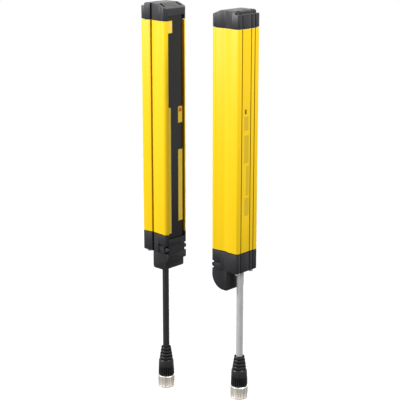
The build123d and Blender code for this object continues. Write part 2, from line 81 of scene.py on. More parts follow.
camera_data = bpy.data.cameras.new("camera")
camera_data.sensor_width = 36.0
camera_data.lens = FOCAL_PIXELS / FRAME_PIXELS * camera_data.sensor_width
camera_data.clip_end = 20.0
camera = bpy.data.objects.new("camera", camera_data)
camera.location = [value * MM for value in CAMERA_PLACE]
camera.rotation_euler = (math.radians(90 - CAMERA_PITCH), 0.0, math.radians(CAMERA_TURN))
bpy.context.scene.collection.objects.link(camera)
bpy.context.scene.camera = camera
print("lens", round(camera_data.lens, 1), "mm")

# %% [markdown]
# Each cable is a fixed length of round sheathed cable that hangs straight down from its bush. A NURBS line
# with a round bevel is the natural form for it, because the line is also what its length is measured on.
# The plug at its end is a separate moulding, so the cable only has to run down to it.

# %% Cables
CABLE_DIAMETER = 7.0
CABLE_SLOTS = {"receiver": "black_cable", "emitter": "grey_cable"}


def hanging_cable(name, node):
    """A straight hanging cable in the place of the CAD node, with its upper end and its length."""
    low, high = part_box(node)
    x = (low[0] + high[0]) / 2
    curve = bpy.data.curves.new(name, "CURVE")
    curve.dimensions = "3D"
    curve.bevel_depth = 1.0
    curve.bevel_resolution = 7
    curve.use_fill_caps = True
    spline = curve.splines.new("NURBS")
    spline.points.add(2)
    for point, share in zip(spline.points, (0.0, 0.5, 1.0)):
        point.co = (x, 0.0, high[2] + (low[2] - high[2]) * share, 1.0)
        point.radius = CABLE_DIAMETER * MM / 2
    spline.order_u = 3
    spline.use_endpoint_u = True
    cable = bpy.data.objects.new(name, curve)
    bpy.context.scene.collection.objects.link(cable)
    length = high[2] - low[2]
    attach(cable, "bars")
    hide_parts(node)
    print(name, "is", round(length, 4), "m long")
    return cable, (x, 0.0, high[2]), length


cables = {}
for side, slot in CABLE_SLOTS.items():
    cables[side] = hanging_cable(side + "_cable_sheath", side + "_cable")

# %% [markdown]
# Every finish below is built from a few small steps: a principled shader, a noise that shifts its colour a
# little, and a finer noise that raises its surface. They all read Object coordinates, so one finish fits
# every piece at its real scale, whatever the shape of the mesh. The first three steps make the shader, set
# one of its sockets to a number, and feed one from another node.

# %% The shader and its sockets
def set_socket(material, socket, value):
    """Sets one socket of the material's principled shader."""
    material.node_tree.nodes["Principled BSDF"].inputs[socket].default_value = value


def feed_socket(material, output, socket):
    """Links a node's output to one socket of the material's principled shader."""
    tree = material.node_tree
    tree.links.new(output, tree.nodes["Principled BSDF"].inputs[socket])


def finish(name, colour, roughness, metallic=0.0):
    """A new material with one principled shader of this colour."""
    material = bpy.data.materials.new(name)
    material.use_nodes = True
    set_socket(material, "Base Color", (*colour, 1.0))
    set_socket(material, "Roughness", roughness)
    set_socket(material, "Metallic", metallic)
    return material


# %% [markdown]
# The noise steps turn one noise into colour, gloss or relief. A noise gives mostly values near its middle,
# so the colour ramp spreads only the part between 0.3 and 0.7, and both shades are then seen.

# %% Noise steps
RAMP_SPAN = (0.3, 0.7)


def object_noise(material, scale, stretch=(1.0, 1.0, 1.0), detail=3.0):
    """A noise on Object coordinates. Its scale is in features a metre."""
    tree = material.node_tree
    place = tree.nodes.new("ShaderNodeTexCoord")
    mapping = tree.nodes.new("ShaderNodeMapping")
    mapping.inputs["Scale"].default_value = stretch
    noise = tree.nodes.new("ShaderNodeTexNoise")
    noise.inputs["Scale"].default_value = scale
    noise.inputs["Detail"].default_value = detail
    tree.links.new(place.outputs["Object"], mapping.inputs["Vector"])
    tree.links.new(mapping.outputs["Vector"], noise.inputs["Vector"])
    return noise


def vary_colour(material, noise, dark, light):
    """Blends the shader's colour between two shades of itself by the noise."""
    ramp = material.node_tree.nodes.new("ShaderNodeValToRGB")
    for element, position, shade in zip(ramp.color_ramp.elements, RAMP_SPAN, (dark, light)):
        element.position = position
        element.color = (*shade, 1.0)
    material.node_tree.links.new(noise.outputs["Fac"], ramp.inputs["Fac"])
    feed_socket(material, ramp.outputs["Color"], "Base Color")


def vary_roughness(material, noise, low, high):
    """Maps the noise to a narrow range of roughness."""
    span = material.node_tree.nodes.new("ShaderNodeMapRange")
    span.inputs["To Min"].default_value = low
    span.inputs["To Max"].default_value = high
    material.node_tree.links.new(noise.outputs["Fac"], span.inputs["Value"])
    feed_socket(material, span.outputs["Result"], "Roughness")


def raise_surface(material, noise, height, strength=0.5):
    """Feeds the noise to the shader's normal as relief of this height in metres."""
    bump = material.node_tree.nodes.new("ShaderNodeBump")
    bump.inputs["Distance"].default_value = height
    bump.inputs["Strength"].default_value = strength
    material.node_tree.links.new(noise.outputs["Fac"], bump.inputs["Height"])
    feed_socket(material, bump.outputs["Normal"], "Normal")


# %% [markdown]
# The housings are aluminium extrusions with a yellow powder coat. The coat is satin, with the faint pebble
# of baked powder, and the extrusion's die leaves very shallow lines along the bar. The lines are the same
# noise stretched a hundred times along Z. The grooves and the lips' inner walls get darker coats, which are
# painted shade, the sawn ends get a pale coat, which is a painted highlight, and printed fields are duller,
# so each such place has its own coat. They are kept by place, and their order is also the order of the
# material slots on a housing.

# %% Yellow powder coats
YELLOW = (0.94, 0.62, 0.004)
YELLOW_DEEP = (0.91, 0.59, 0.003)
DIE_LINES = 260.0
DIE_LINE_STRETCH = (1.0, 1.0, 0.01)
PEBBLE = 1900.0
PEBBLE_HEIGHT = 0.00004


def powder(name, deep, light, roughness, shine=0.24):
    """Satin powder paint over an extrusion, with die lines along Z and a fine pebble."""
    material = finish(name, light, roughness)
    set_socket(material, "Specular IOR Level", shine)
    die_lines = object_noise(material, DIE_LINES, stretch=DIE_LINE_STRETCH)
    vary_colour(material, die_lines, deep, light)
    vary_roughness(material, die_lines, roughness - 0.04, roughness + 0.04)
    raise_surface(material, object_noise(material, PEBBLE), PEBBLE_HEIGHT, strength=0.35)
    return material


COATS = {
    "coat": powder("yellow_powder_coat", YELLOW_DEEP, YELLOW, 0.42),
    # Painted shade: the side groove coat is darker to stand for the shade in the groove.
    "side groove": powder("side_groove_painted_shade", (0.48, 0.24, 0.001), (0.56, 0.29, 0.002), 0.6, shine=0.15),
    # Painted highlight: the pale coat on the sawn ends stands for light caught by the edge.
    "cut edge": powder("cut_edge_painted_highlight", (0.95, 0.84, 0.38), (0.98, 0.90, 0.46), 0.3),
    # Painted shade: the dark coat on the lips' inner walls stands for the shade beside the window.
    "mouth": powder("mouth_painted_shade", (0.17, 0.075, 0.001), (0.22, 0.10, 0.001), 0.6, shine=0.1),
    # Painted shade: the rear groove coat is darker to stand for the shade in the grooves.
    "rear groove": powder("rear_groove_painted_shade", (0.36, 0.15, 0.0), (0.42, 0.18, 0.0), 0.7, shine=0.05),
    "field": powder("printed_field_coat", (0.66, 0.44, 0.012), (0.71, 0.48, 0.02), 0.5),
    "mark": powder("printed_mark_coat", (0.10, 0.07, 0.008), (0.14, 0.10, 0.012), 0.5),
}
COAT_INDEX = {place: index for index, place in enumerate(COATS)}
print("coats for", ", ".join(COATS))

# %% [markdown]
# The caps and end blocks are glass-filled plastic with a spark-eroded grain. A fine noise gives the grain,
# and a broad faint one keeps the dark surface from looking like flat paint. Rubber and cable sheath are made
# the same way, with other grains and less gloss. Each row below gives the darker and the lighter shade, the
# roughness, the grain in features a metre and, where it isn't the usual 0.5, the strength of the shine.

# %% Moulded plastics and rubber
BROAD_SHADE = 120.0
GRAIN_HEIGHT = 0.00005
PLASTICS = {
    "cap_plastic": ((0.012, 0.012, 0.015), (0.017, 0.017, 0.021), 0.42, 2600.0),
    # The foot plastic below is a darker copy of the cap plastic: painted shade for the lower pieces.
    "foot_plastic_painted_shade": ((0.007, 0.007, 0.009), (0.011, 0.011, 0.013), 0.45, 2600.0, 0.34),
    # The upper face plastic below is a paler copy: a painted highlight on faces that look up.
    "cap_top_painted_highlight": ((0.065, 0.065, 0.067), (0.085, 0.085, 0.087), 0.38, 2600.0),
    "inner_plastic": ((0.012, 0.012, 0.013), (0.02, 0.02, 0.021), 0.6, 2000.0),
    "seal_rubber": ((0.012, 0.012, 0.012), (0.022, 0.021, 0.02), 0.75, 1500.0),
    "plug_moulding": ((0.004, 0.004, 0.005), (0.008, 0.008, 0.010), 0.3, 900.0, 0.35),
    "plug_ring_groove": ((0.001, 0.001, 0.001), (0.002, 0.002, 0.002), 0.8, 900.0, 0.1),
    "black_sheath": ((0.009, 0.009, 0.012), (0.015, 0.015, 0.020), 0.42, 1200.0, 0.4),
    "grey_sheath": ((0.42, 0.42, 0.42), (0.47, 0.47, 0.465), 0.45, 1200.0),
}


def grained_plastic(name, dark, light, roughness, grain, shine=0.5):
    """Moulded plastic or rubber with a grain of this many features a metre."""
    material = finish(name, light, roughness)
    set_socket(material, "Specular IOR Level", shine)
    vary_colour(material, object_noise(material, BROAD_SHADE), dark, light)
    grain_noise = object_noise(material, grain, detail=2.0)
    vary_roughness(material, grain_noise, roughness - 0.06, roughness + 0.08)
    raise_surface(material, grain_noise, GRAIN_HEIGHT)
    return material


plastics = {name: grained_plastic(name, *values) for name, values in PLASTICS.items()}
print("plastics", ", ".join(plastics))

# %% [markdown]
# The window is a tinted sheet that passes infrared and looks almost black. It is the glossiest surface on
# the bar, so it needs a smooth, clear coat more than it needs a pattern. The lenses and light guides behind
# it are clear resin, and the boards wear a green solder mask.

# %% Window, lenses and board
tinted_sheet = finish("tinted_window", (0.006, 0.005, 0.004), 0.2)
set_socket(tinted_sheet, "Specular IOR Level", 0.3)
set_socket(tinted_sheet, "Coat Weight", 0.03)
set_socket(tinted_sheet, "Coat Roughness", 0.06)
sheet_noise = object_noise(tinted_sheet, 60.0, stretch=(1.0, 1.0, 0.2))
vary_colour(tinted_sheet, sheet_noise, (0.004, 0.003, 0.002), (0.008, 0.007, 0.005))
vary_roughness(tinted_sheet, sheet_noise, 0.17, 0.24)

clear_resin = finish("clear_resin", (0.86, 0.9, 0.92), 0.08)
set_socket(clear_resin, "Transmission Weight", 0.85)
set_socket(clear_resin, "IOR", 1.49)
vary_roughness(clear_resin, object_noise(clear_resin, 300.0), 0.05, 0.12)

solder_mask = finish("board_solder_mask", (0.02, 0.16, 0.06), 0.35)
vary_colour(solder_mask, object_noise(solder_mask, 500.0), (0.012, 0.12, 0.045), (0.026, 0.19, 0.075))
print("made", tinted_sheet.name, clear_resin.name, solder_mask.name)

# %% [markdown]
# Four metals are left: blackened and plain steel screws, nickel-plated nuts and gold-plated contacts. Nickel
# is warmer than chrome, and its roughness shifts in patches where hands have polished it. The patches are
# long along Z, so that each flute of a nut keeps one shade from top to bottom. On the nickel, that light and
# dark striping of the colour is a painted reflection, standing for the flutes mirroring the studio.

# %% Metals
PATCHES = 220.0
PLATING_GRAIN = 1500.0
PLATING_HEIGHT = 0.00002


def plated_metal(name, dark, light, low, high, stretch=(1.0, 1.0, 1.0), metallic=1.0):
    """A metal whose colour and roughness both shift with the same patches."""
    material = finish(name, light, low, metallic)
    patches = object_noise(material, PATCHES, stretch)
    vary_colour(material, patches, dark, light)
    vary_roughness(material, patches, low, high)
    raise_surface(material, object_noise(material, PLATING_GRAIN), PLATING_HEIGHT, strength=0.3)
    return material


# The nickel's light and dark colour stripes along Z are a painted reflection of the flutes.
nickel = plated_metal(
    "nickel_plate_painted_streaks", (0.68, 0.62, 0.53), (0.99, 0.95, 0.88), 0.28, 0.4, (1.6, 1.6, 0.06), metallic=0.85
)
black_oxide = plated_metal("black_oxide_screw", (0.05, 0.05, 0.055), (0.09, 0.09, 0.10), 0.35, 0.45)
screw_steel = plated_metal("screw_steel", (0.36, 0.36, 0.37), (0.52, 0.52, 0.53), 0.3, 0.42)
gold = plated_metal("gold_plate", (0.72, 0.50, 0.16), (0.86, 0.64, 0.26), 0.18, 0.28)
print("made", nickel.name, black_oxide.name, screw_steel.name, gold.name)

# %% [markdown]
# Both bars have the same pieces, so the last word of a node's name is enough to choose its finish. The CAD
# meshes stay as they are and only get a material. The cables differ from each other: one is black and the
# other grey.

# %% Put the finishes on the CAD nodes
FINISH_BY_ENDING = {
    "housing": COATS["coat"],
    "window": tinted_sheet,
    "seal": plastics["seal_rubber"],
    "cap": plastics["cap_plastic"],
    "screws": screw_steel,
    "screw": black_oxide,
    "board": solder_mask,
    "photodiodes": clear_resin,
    "leds": clear_resin,
    "carrier": plastics["inner_plastic"],
    "strip": clear_resin,
    "header": plastics["inner_plastic"],
    "guide": clear_resin,
    "block": plastics["foot_plastic_painted_shade"],
    "grommet": plastics["seal_rubber"],
    "cable": plastics["black_sheath"],
    "body": plastics["plug_moulding"],
    "nut": nickel,
    "insert": plastics["inner_plastic"],
    "contacts": gold,
}


def dress(piece, material):
    """Gives the piece this one material."""
    piece.data.materials.clear()
    piece.data.materials.append(material)


for name, node in nodes.items():
    dress(node, FINISH_BY_ENDING[name.rsplit("_", 1)[-1]])
dress(cables["receiver"][0], plastics["black_sheath"])
dress(cables["emitter"][0], plastics["grey_sheath"])
print(len(nodes), "nodes and", len(cables), "cables dressed")

# %% [markdown]
# CAD edges are perfectly sharp, and real ones never are: a moulded cap or a cut extrusion has a small
# radius that catches the light. A copy of each shell is merged, its flat triangles are joined again, and
# its sharp edges get a narrow bevel. The copy then stands in for the node.

# %% Bevels
MERGE_DISTANCE = 1e-6
FLAT_ANGLE = math.radians(0.5)
SHARP_ANGLE = math.radians(32)


def merged_copy(node_name):
    """A shape from the loose triangles of a CAD node, joined where they meet."""
    shape = bmesh.new()
    shape.from_mesh(nodes[node_name].data)
    bmesh.ops.remove_doubles(shape, verts=shape.verts, dist=MERGE_DISTANCE)
    return shape


def sharp_edges(edges):
    """Those edges whose two faces turn by more than the sharp angle."""
    return [edge for edge in edges if edge.is_manifold and edge.calc_face_angle(0.0) > SHARP_ANGLE]


def bevel_edges(shape, edges, width, segments=2):
    """Rounds the edges by this width in millimetres."""
    bmesh.ops.bevel(
        shape,
        geom=edges,
        offset=width * MM,
        offset_type="OFFSET",
        segments=segments,
        profile=0.5,
        affect="EDGES",
        clamp_overlap=True,
        material=-1,
    )


def soften(shape, width):
    """Joins the flat triangles of a shape and rounds its sharp edges."""
    bmesh.ops.dissolve_limit(shape, angle_limit=FLAT_ANGLE, verts=shape.verts, edges=shape.edges)
    bevel_edges(shape, sharp_edges(shape.edges), width)


# %% [markdown]
# A finished shape becomes an object in one place in the script. Its place is in its mesh and the object
# stays at the origin. Faces that meet at a small angle are shaded smooth, and larger angles stay crisp, so a
# bevel reads as round and a corner as a corner.

# %% From a shape to a piece
SHELL_SMOOTH = 40


def new_piece(name, shape, materials, smooth_to=None):
    """An object from a finished shape, shaded smooth up to this angle where one is given."""
    mesh = bpy.data.meshes.new(name)
    shape.to_mesh(mesh)
    shape.free()
    if smooth_to is not None:
        mesh.shade_smooth()
        mesh.set_sharp_from_angle(angle=math.radians(smooth_to))
    for material in materials:
        mesh.materials.append(material)
    piece = bpy.data.objects.new(name, mesh)
    bpy.context.scene.collection.objects.link(piece)
    print(name, len(mesh.polygons), "faces")
    return piece


def stand_in(node_name, shape, materials):
    """Puts a softened shape in the place of its CAD node."""
    piece = new_piece(node_name + "_soft", shape, materials, SHELL_SMOOTH)
    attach(piece, "bars")
    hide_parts(node_name)


# %% [markdown]
# The rear flat of the emitter's housing carries printed fields, duller than the paint. A film laid on it
# would stand proud of the face that the bar is mounted by, so the flat itself is divided along the borders
# of each field, and the faces between them get another coat. bisect_plane does that and moves nothing.

# %% Printed fields on the rear flat
REAR_FLAT = (-9.0, 2.2)
REAR_FIELDS = (
    ("field", (-6.6, -0.2), (12.7, 26.4)),
    ("field", (-6.4, 0.4), (-20.0, 7.8)),
    ("field", (-3.4, 1.0), (-52.8, -22.8)),
    ("field", (-5.6, 1.4), (-73.4, -55.0)),
    ("mark", (-5.7, -3.2), (28.8, 33.6)),
)
CUT_TOLERANCE = 1e-7


def within(value, span):
    """Whether the value lies between the two ends of the span."""
    return span[0] < value < span[1]


def rear_faces(shape, back):
    """The faces of the flat between the grooves on a housing's back."""
    flat = [face for face in shape.faces if abs(face.calc_center_median().x - back) < MERGE_DISTANCE]
    return [face for face in flat if within(face.calc_center_median().y / MM, REAR_FLAT)]


def divide_rear(shape, back, axis, level):
    """Divides the rear flat by a plane across Y or Z, at this level in millimetres."""
    faces = set(rear_faces(shape, back))
    edges = [edge for edge in shape.edges if faces.intersection(edge.link_faces)]
    verts = [vert for vert in shape.verts if faces.intersection(vert.link_faces)]
    point, normal = Vector(), Vector()
    point[axis], normal[axis] = level * MM, 1.0
    geometry = [*verts, *edges, *faces]
    bmesh.ops.bisect_plane(shape, geom=geometry, dist=CUT_TOLERANCE, plane_co=point, plane_no=normal)


def print_rear_fields(shape, back):
    """Divides the flat along the borders of each field, and gives what lies between them its coat."""
    for coat, across, heights in REAR_FIELDS:
        for axis, levels in ((1, across), (2, heights)):
            for level in levels:
                divide_rear(shape, back, axis, level)
        for face in rear_faces(shape, back):
            spot = face.calc_center_median() / MM
            if within(spot.y, across) and within(spot.z, heights):
                face.material_index = COAT_INDEX[coat]


print(len(REAR_FIELDS), "fields to print")

# %% [markdown]
# The rest of a housing's coats follow from where a face lies: how deep behind the bar's back, how far across
# from its middle, and how near to its ends. One small function says which coat belongs to a place. Where the
# saw cut the extrusion, a flat chamfer of 0.6 mm carries a pale coat that is a painted highlight, and the
# grooves and the lips' inner walls carry darker coats that are painted shade.

# %% Coats by place
CUT_EDGE = 0.6
CUT_EDGE_SHARE = 0.9
LIP_DEPTH = 33.05
MOUTH_ACROSS = (10.6, 11.8)
REAR_GROOVE_DEPTHS = (0.02, 1.3)
REAR_GROOVES = ((9.15, 10.85), (-3.85, -2.15), (-9.25, -7.55))
SIDE_GROOVE_DEPTHS = (12.5, 14.7)
SIDE_GROOVE_ACROSS = (-13.9, -12.0)


def coat_at(depth, across, rise):
    """The coat for a place in millimetres. Its rise is the distance to the nearer end of the bar."""
    # The cut edge gets a painted highlight, and the mouth and both grooves get painted shade.
    if rise < CUT_EDGE * CUT_EDGE_SHARE:
        return "cut edge"
    if depth > LIP_DEPTH and within(abs(across), MOUTH_ACROSS):
        return "mouth"
    if within(depth, REAR_GROOVE_DEPTHS) and any(within(across, span) for span in REAR_GROOVES):
        return "rear groove"
    if within(depth, SIDE_GROOVE_DEPTHS) and within(across, SIDE_GROOVE_ACROSS):
        return "side groove"
    return "coat"


print("middle of the back:", coat_at(0.0, 0.0, 100.0), "- in a groove:", coat_at(1.0, 10.0, 100.0))

# %% [markdown]
# The housing's long edges are rounded only a tenth of a millimetre, because an extrusion's corners are
# crisp. Its end edges are bevelled once more by the width of the cut, before the coats are placed.

# %% Housings
HOUSING_ROUNDING = 0.12
END_TOLERANCE = 1e-5


def from_back(side, depth):
    """The x in metres at this depth in millimetres in front of a bar's back face."""
    low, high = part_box(side + "_housing")
    back = low[0] if SIDES[side] == 1 else high[0]
    return back + SIDES[side] * depth * MM


def coat_housing(side, shape):
    """Cuts the rim at both ends of a housing, which gets a painted highlight, and puts each coat in its
    place.
    """
    low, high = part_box(side + "_housing")
    back, way = from_back(side, 0.0), SIDES[side]

    def rise(z):
        return min(z - low[2], high[2] - z)

    ends = [edge for edge in shape.edges if all(rise(vert.co.z) < END_TOLERANCE for vert in edge.verts)]
    bevel_edges(shape, sharp_edges(ends), CUT_EDGE, segments=1)
    for face in shape.faces:
        spot = face.calc_center_median()
        coat = coat_at((spot.x - back) * way / MM, spot.y * way / MM, rise(spot.z) / MM)
        face.material_index = COAT_INDEX[coat]
    if side == "emitter":
        print_rear_fields(shape, back)


for side in SIDES:
    shape = merged_copy(side + "_housing")
    soften(shape, HOUSING_ROUNDING)
    coat_housing(side, shape)
    stand_in(side + "_housing", shape, COATS.values())

# %% [markdown]
# The caps have slots that are too fine for the CAD model. A slot is cut with a Boolean: a box stands where
# the slot will be, and the modifier takes it away from the cap. Both are put in the scene as plain objects
# for that moment and removed again, so that only the result is left.

# %% Boxes and Boolean cuts
def add_box(shape, size, place, slope=0.0):
    """Adds a box of this size in millimetres, turned about Y and set at a place in metres."""
    made = bmesh.ops.create_cube(shape, size=1.0)["verts"]
    bmesh.ops.scale(shape, verts=made, vec=[value * MM for value in size])
    turn = Matrix.Rotation(math.radians(slope), 3, "Y")
    bmesh.ops.rotate(shape, verts=made, cent=(0, 0, 0), matrix=turn)
    bmesh.ops.translate(shape, verts=made, vec=place)


def plain_object(name, shape):
    """An object for a moment's use, with no material."""
    mesh = bpy.data.meshes.new(name)
    shape.to_mesh(mesh)
    thing = bpy.data.objects.new(name, mesh)
    bpy.context.scene.collection.objects.link(thing)
    return thing


def cut_out(shape, boxes):
    """Takes the boxes away from the shape."""
    block, tool = plain_object("cut_block", shape), plain_object("cut_tool", boxes)
    boxes.free()
    boolean = block.modifiers.new("cut", "BOOLEAN")
    boolean.operation = "DIFFERENCE"
    boolean.object = tool
    evaluated = block.evaluated_get(bpy.context.evaluated_depsgraph_get())
    result = bpy.data.meshes.new_from_object(evaluated)
    for thing in (block, tool):
        bpy.data.objects.remove(thing)
    shape.clear()
    shape.from_mesh(result)


# %% [markdown]
# A top cap has a crown that slopes down to the front, with a short grip slot near each side. The boxes for
# the slots lie along the slope and sink into it a little more than a millimetre. The faces that look up get
# a paler, smoother plastic, which is a painted highlight for the light that falls on top.

# %% Top caps
MOULDING_ROUNDING = 0.3
GRIP_SLOT = (7.5, 3.2, 5.0)
GRIP_SLOT_DEPTH = 27.6
GRIP_SLOT_ACROSS = 11.6
GRIP_SLOT_SINK = 1.2
CROWN_SLOPE = 22.6
UPWARD = 0.6


def grip_slots(side):
    """Boxes for a slot near each side of the sloped top of a cap."""
    boxes = bmesh.new()
    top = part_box(side + "_top_cap")[1][2]
    for across in (-1, 1):
        y = across * GRIP_SLOT_ACROSS * MM
        place = (from_back(side, GRIP_SLOT_DEPTH), y, top - GRIP_SLOT_SINK * MM)
        add_box(boxes, GRIP_SLOT, place, CROWN_SLOPE * SIDES[side])
    return boxes


for side in SIDES:
    shape = merged_copy(side + "_top_cap")
    cut_out(shape, grip_slots(side))
    soften(shape, MOULDING_ROUNDING)
    for face in shape.faces:
        # Faces that look up get the paler plastic: a painted highlight from the light above.
        face.material_index = int(face.normal.z > UPWARD)
    materials = (plastics["cap_plastic"], plastics["cap_top_painted_highlight"])
    stand_in(side + "_top_cap", shape, materials)

# %% [markdown]
# Under the bars, a slanting slot runs beside the round bead, through the bottom cap and the end block. The
# block is also a little narrower than the cap above it, which leaves a fine step. Its boxes are larger than
# what they take away, because a Boolean is only safe where no two faces lie in one plane.

# %% Bottom caps and end blocks
RELIEF_SLOT = (8.6, 6.0, 1.9)
RELIEF_SLOT_DEPTH = 26.2
RELIEF_SLOT_ACROSS = -16.6
RELIEF_SLOT_HEIGHT = 8.1
RELIEF_SLOT_SLOPE = 27.0
BLOCK_SIDE_CUT = 1.2
BOX_SPARE = 10.0


def add_relief_slot(side, boxes):
    """Adds a box for the slanting slot beside the bead, on one side of a bar's foot."""
    x = from_back(side, RELIEF_SLOT_DEPTH)
    y = SIDES[side] * RELIEF_SLOT_ACROSS * MM
    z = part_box(side + "_bottom_cap")[0][2] + RELIEF_SLOT_HEIGHT * MM
    add_box(boxes, RELIEF_SLOT, (x, y, z), RELIEF_SLOT_SLOPE * SIDES[side])


def add_block_sides(side, boxes):
    """Adds boxes that set the block's sides back below the cap's floor."""
    low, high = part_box(side + "_end_block")
    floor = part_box(side + "_bottom_cap")[0][2]
    size = ((high[0] - low[0]) / MM + BOX_SPARE, BOX_SPARE, (floor - low[2]) / MM + BOX_SPARE)
    for across in (-1, 1):
        y = across * (high[1] + (BOX_SPARE / 2 - BLOCK_SIDE_CUT) * MM)
        add_box(boxes, size, ((low[0] + high[0]) / 2, y, floor - size[2] / 2 * MM))


FOOT_CUTS = {"bottom_cap": (add_relief_slot,), "end_block": (add_block_sides, add_relief_slot)}

for side in SIDES:
    for part, adders in FOOT_CUTS.items():
        shape, boxes = merged_copy(side + "_" + part), bmesh.new()
        for add in adders:
            add(side, boxes)
        cut_out(shape, boxes)
        soften(shape, MOULDING_ROUNDING)
        # The darker foot plastic is painted shade for the lower end of the bar.
        stand_in(side + "_" + part, shape, (plastics["foot_plastic_painted_shade"],))

# %% [markdown]
# A strap of the same moulding bridges the front notch and holds the round bead. It leaves the notch open at
# both ends, where the bead shows. It is a box whose twelve edges are rounded.

# %% Straps over the beads
STRAP_ENDS = (-11.2, 11.4)
STRAP_DEPTH = 3.2
STRAP_HEIGHT = 8.7
STRAP_ROUNDING = 0.5


def strap(side):
    """The strap over one bead, flush with the front of the block."""
    way = SIDES[side]
    block_low, block_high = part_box(side + "_end_block")
    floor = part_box(side + "_bottom_cap")[0][2]
    front = block_high[0] if way == 1 else block_low[0]
    middle = Vector((-way * STRAP_DEPTH, way * sum(STRAP_ENDS), STRAP_HEIGHT)) / 2 * MM
    size = (STRAP_DEPTH, STRAP_ENDS[1] - STRAP_ENDS[0], STRAP_HEIGHT)
    shape = bmesh.new()
    add_box(shape, size, Vector((front, 0.0, floor)) + middle)
    bevel_edges(shape, shape.edges[:], STRAP_ROUNDING)
    # The strap shares the darker foot plastic, painted shade for the lower end.
    piece = new_piece(side + "_bead_strap", shape, (plastics["foot_plastic_painted_shade"],))
    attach(piece, "bars")


for side in SIDES:
    strap(side)

# %% [markdown]
# Nuts and plugs are round, so both are spun. An outline of radius and height is drawn once, turned round Z
# in even steps and merged where it closes. Flutes come afterwards: where a column of the spun mesh lies in a
# flute, its points are drawn in towards the axis.

# %% Spun pieces
COLUMNS_PER_FLUTE = 8
NEAR = 0.02


def spun(outline, columns):
    """A closed ring from an outline of (radius, height) in millimetres, spun about Z in even steps."""
    ring = bmesh.new()
    dots = [ring.verts.new((radius * MM, 0.0, height * MM)) for radius, height in outline]
    loop = [ring.edges.new((dots[i - 1], dots[i])) for i in range(len(dots))]
    bmesh.ops.spin(
        ring,
        geom=dots + loop,
        cent=(0, 0, 0),
        axis=(0, 0, 1),
        dvec=(0, 0, 0),
        angle=math.tau,
        steps=columns,
        use_merge=True,
        use_duplicate=False,
    )
    bmesh.ops.remove_doubles(ring, verts=ring.verts, dist=MERGE_DISTANCE)
    bmesh.ops.recalc_face_normals(ring, faces=ring.faces)
    return ring


def press_flutes(columns, wanted, depths):
    """Draws in the columns nearest to each flute, the middle one by the first depth."""
    for vert in wanted:
        column = round(math.atan2(vert.co.y, vert.co.x) / math.tau * columns)
        offset = min(column % COLUMNS_PER_FLUTE, -column % COLUMNS_PER_FLUTE)
        if offset < len(depths):
            radius = vert.co.xy.length
            vert.co.xy *= (radius - depths[offset] * MM) / radius


def round_piece(name, ring, smooth_to, materials, body, node):
    """Turns a spun ring into a piece that stands at its node's place and replaces it."""
    low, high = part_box(node)
    bmesh.ops.translate(ring, verts=ring.verts, vec=((low[0] + high[0]) / 2, 0.0, low[2]))
    piece = new_piece(name, ring, materials, smooth_to)
    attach(piece, body)
    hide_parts(node)
    return piece


# %% [markdown]
# The coupling nut is the one bright piece, and its flutes are what the eye finds first. It has a plain band
# at each end and twenty flutes between them. Its bore is wide where the plug's thread sits and narrow at the
# top, where it catches on the plug's flange. The thread inside is drawn as plain rings.

# %% Knurled coupling nuts
FLUTES = 20
FLUTE_DEPTHS = (0.62, 0.24)
NUT_NECK = 4.72
NUT_THREAD = 5.47
NUT_WALL = 4.4
NUT_CHAMFER = 0.7
NUT_BAND = 1.6
NUT_GRIP_START = 1.9
NUT_GRIP_SINK = 0.1
THREAD_DEPTH = 0.3
THREAD_PITCH = 1.0
NUT_SMOOTH = 25


def nut_profile(radius, height):
    """The ring's closed outline as (radius, height) in millimetres, from the top of its bore."""
    grip, wall = radius - NUT_GRIP_SINK, height - NUT_WALL
    outline = [(NUT_NECK, height), (radius - NUT_CHAMFER, height), (radius, height - NUT_CHAMFER)]
    outline += [(radius, height - NUT_BAND), (grip, height - NUT_GRIP_START), (grip, NUT_GRIP_START)]
    outline += [(radius, NUT_BAND), (radius, NUT_CHAMFER), (radius - NUT_CHAMFER, 0.0)]
    outline += [(NUT_THREAD + NUT_CHAMFER, 0.0), (NUT_THREAD, NUT_CHAMFER)]
    turn = NUT_CHAMFER + THREAD_PITCH / 2
    while turn + THREAD_PITCH < wall:
        outline += [(NUT_THREAD + THREAD_DEPTH, turn), (NUT_THREAD, turn + THREAD_PITCH / 2)]
        turn += THREAD_PITCH
    outline += [(NUT_THREAD, wall), (NUT_NECK, wall)]
    return outline


def knurled_nut(side):
    """The nut of one plug, on its own body, because it turns."""
    node = side + "_coupling_nut"
    low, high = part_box(node)
    radius = (high[0] - low[0]) / 2 / MM
    columns = FLUTES * COLUMNS_PER_FLUTE
    ring = spun(nut_profile(radius, (high[2] - low[2]) / MM), columns)
    grip = [v for v in ring.verts if abs(v.co.xy.length / MM - (radius - NUT_GRIP_SINK)) < NEAR]
    press_flutes(columns, grip, [depth - NUT_GRIP_SINK for depth in FLUTE_DEPTHS])
    return round_piece(side + "_knurled_nut", ring, NUT_SMOOTH, (nickel,), side + "_nut", node)


nuts = {side: knurled_nut(side) for side in SIDES}

# %% [markdown]
# The plug is moulded over the cable's end. Its strain relief is a stack of rings that widen downwards, with
# a deep narrow groove under each, so that the rubber can bend there. Below them is a grip with a rounded
# shoulder and flutes at its foot, and then the neck that carries the nut. The outline runs from the foot up
# the outside and back down through the bore.

